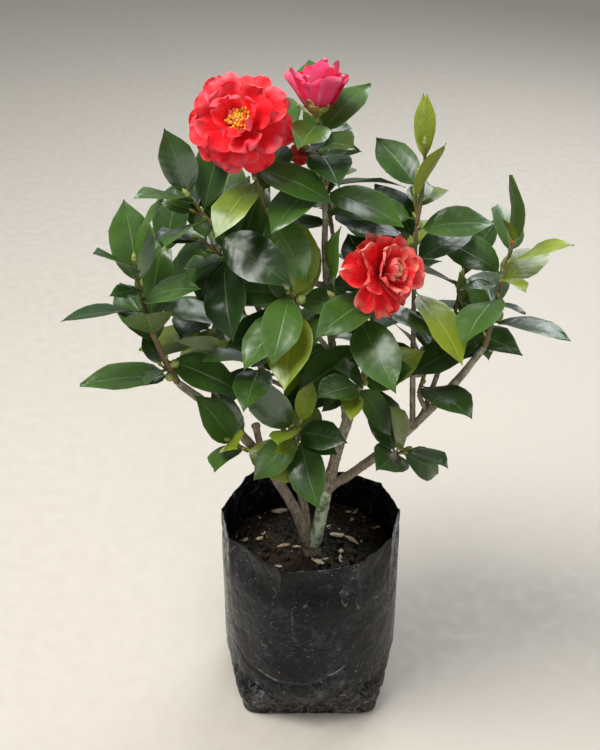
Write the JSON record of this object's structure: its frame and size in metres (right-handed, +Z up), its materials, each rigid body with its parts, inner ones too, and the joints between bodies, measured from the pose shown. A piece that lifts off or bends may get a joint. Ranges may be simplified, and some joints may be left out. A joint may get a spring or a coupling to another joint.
{
  "type": "camellia shrub in a grow bag",
  "caption": "Young evergreen shrub in flower, forked from a short trunk above the soil of a soft black grow bag that stands on its flat underside.",
  "frame": {"origin": "middle of the bag's flat underside", "axes": "+Z up the trunk; +X to the right and +Y to the rear, as seen from the side that the open blooms face"},
  "size_m": [0.3819, 0.2351, 0.5892],
  "materials": {
    "bark": "rough grey-brown bark",
    "foliage": "glossy leathery leaves",
    "blossom": "soft coral red petals",
    "polythene": "dusty black film with a soft shine",
    "compost": "moist dark crumbs with pale chips"
  },
  "bodies": {
    "root": {"grow_bag": "polythene", "soil": "compost", "trunk": "bark", "bough_left": "bark", "bough_stub": "bark", "bough_left_low": "bark", "bough_side_left": "bark", "bough_middle": "bark", "bough_front": "bark", "bough_right": "bark", "bough_right_low": "bark", "bough_right_inner": "bark", "bough_right_up": "bark", "bough_side_right": "bark", "bough_centre": "bark", "bough_leader": "bark", "bough_mid_right": "bark", "bough_mid_left": "bark", "bough_top_left": "bark", "bough_bloom": "bark", "bough_back": "bark", "bough_upper_left": "bark", "bough_mid_back": "bark", "bough_rear_left": "bark", "bough_rear_right": "bark", "bough_rear_top": "bark", "bough_rear_low": "bark", "foliage_left": "foliage", "foliage_left_low": "foliage", "foliage_upper_left": "foliage", "foliage_top_left": "foliage", "foliage_bloom": "foliage", "foliage_top": "foliage", "foliage_right_up": "foliage", "foliage_right_tip": "foliage", "foliage_right_inner": "foliage", "foliage_right_low": "foliage", "foliage_centre": "foliage", "foliage_mid_right": "foliage", "foliage_mid_left": "foliage", "foliage_front": "foliage", "foliage_side_left": "foliage", "foliage_mid_back": "foliage", "foliage_side_right": "foliage", "foliage_rear_top": "foliage", "foliage_rear_left": "foliage", "foliage_rear_right": "foliage", "foliage_rear_low": "foliage"}
  },
  "joints": []
}
